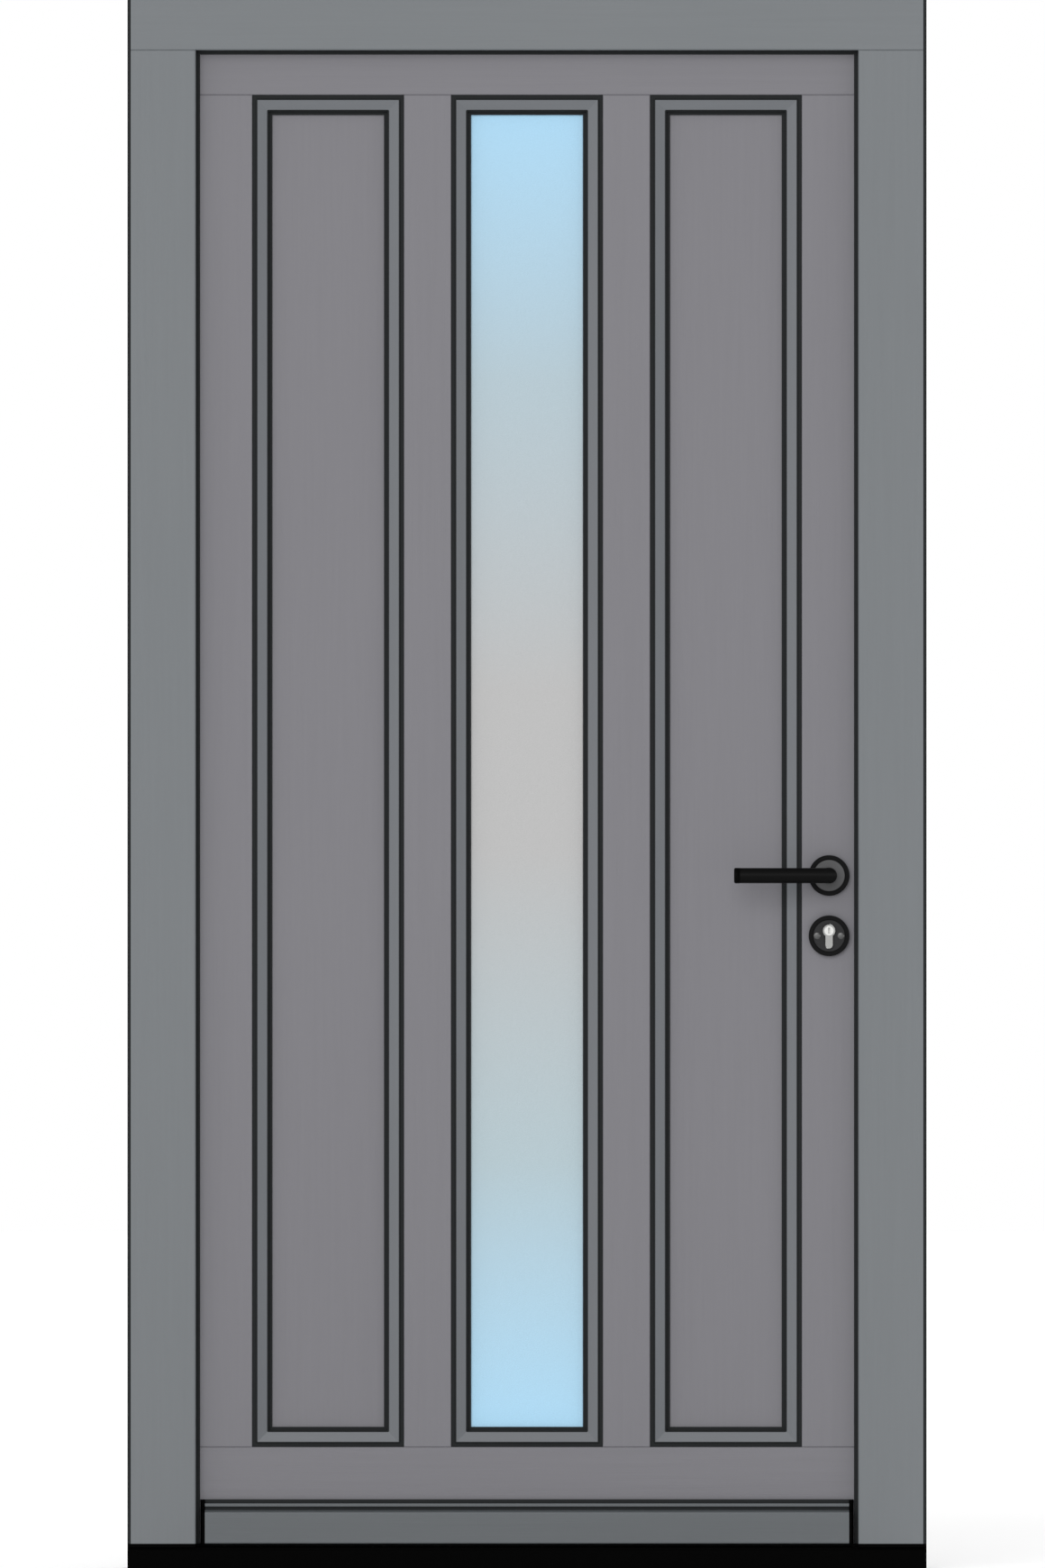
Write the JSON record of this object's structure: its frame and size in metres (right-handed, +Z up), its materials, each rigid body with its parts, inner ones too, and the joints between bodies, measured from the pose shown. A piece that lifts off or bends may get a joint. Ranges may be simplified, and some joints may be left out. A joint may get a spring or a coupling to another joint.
{
  "type": "timber entrance door",
  "caption": "Grey timber entrance door hung in its frame, with tall moulded panels beside a narrow glazed field, lever handle, cylinder lock, weather bar and threshold.",
  "frame": {"origin": "middle of the threshold's underside, half way across the frame's width and half way through its depth", "axes": "+X towards the lock side as seen from outdoors, +Y into the house, +Z up"},
  "size_m": [1.1, 0.2, 2.161],
  "materials": {
    "frame_paint": "satin grey paint over timber",
    "leaf_paint": "satin grey paint over timber",
    "panel_paint": "satin grey paint over an insulated timber panel",
    "moulding_paint": "satin mid-grey paint over timber",
    "weather_bar_paint": "satin dark-grey paint over timber",
    "threshold_black": "black glass-fibre composite",
    "foot_black": "black plastic",
    "seal_rubber": "black rubber",
    "satin_glass": "satin, sees light but not shapes",
    "clear_glass": "clear float glass",
    "spacer_grey": "grey warm-edge spacer",
    "satin_steel": "satin stainless steel",
    "hinge_steel": "satin nickel on steel",
    "drop_seal_aluminium": "mill finish",
    "rose_black": "satin black powder coat",
    "handle_black": "satin black powder coat",
    "cylinder_nickel": "satin nickel plate on brass"
  },
  "bodies": {
    "frame": {"frame_head": "frame_paint", "hinge_jamb": "frame_paint", "lock_jamb": "frame_paint", "threshold": "threshold_black", "jamb_feet": "foot_black", "frame_seal": "seal_rubber", "jamb_wall_seals": "seal_rubber", "strike_plate": "satin_steel", "hinge_frame_halves": "hinge_steel"},
    "leaf": {"top_rail": "leaf_paint", "bottom_rail": "leaf_paint", "hinge_stile": "leaf_paint", "lock_stile": "leaf_paint", "left_muntin": "leaf_paint", "right_muntin": "leaf_paint", "left_panel": "panel_paint", "right_panel": "panel_paint", "outer_glass_pane": "satin_glass", "middle_glass_pane": "clear_glass", "inner_glass_pane": "clear_glass", "glass_spacers": "spacer_grey", "left_moulding_uprights": "moulding_paint", "left_moulding_rails": "moulding_paint", "glass_moulding_uprights": "moulding_paint", "glass_moulding_rails": "moulding_paint", "right_moulding_uprights": "moulding_paint", "right_moulding_rails": "moulding_paint", "inside_moulding_uprights": "moulding_paint", "inside_moulding_rails": "moulding_paint", "outside_panel_seals": "seal_rubber", "inside_panel_seals": "seal_rubber", "weather_bar": "weather_bar_paint", "weather_bar_seals": "seal_rubber", "overlay_seal": "seal_rubber", "drop_seal_channel": "drop_seal_aluminium", "drop_seal_lip": "seal_rubber", "lever_roses": "rose_black", "cylinder_roses": "rose_black", "lock_cylinder": "cylinder_nickel", "cylinder_plugs": "cylinder_nickel", "lock_forend": "satin_steel", "latch_and_bolt": "satin_steel", "hinge_leaf_halves": "hinge_steel"},
    "lever_set": {"outer_lever": "handle_black", "inner_lever": "handle_black", "spindle": "satin_steel"}
  },
  "joints": [
    {"name": "leaf_swing", "type": "hinge", "parent": "frame", "child": "leaf", "pos_m": [-0.504, 0.0525, 0], "axis": [0, 0, 1], "range_deg": [0, 105]},
    {"name": "lever_turn", "type": "hinge", "parent": "leaf", "child": "lever_set", "pos_m": [0.416, 0.0225, 0.9545], "axis": [0, -1, 0], "range_deg": [0, 40], "stiffness_Nm_per_rad": 2, "springref_deg": -22.92}
  ]
}
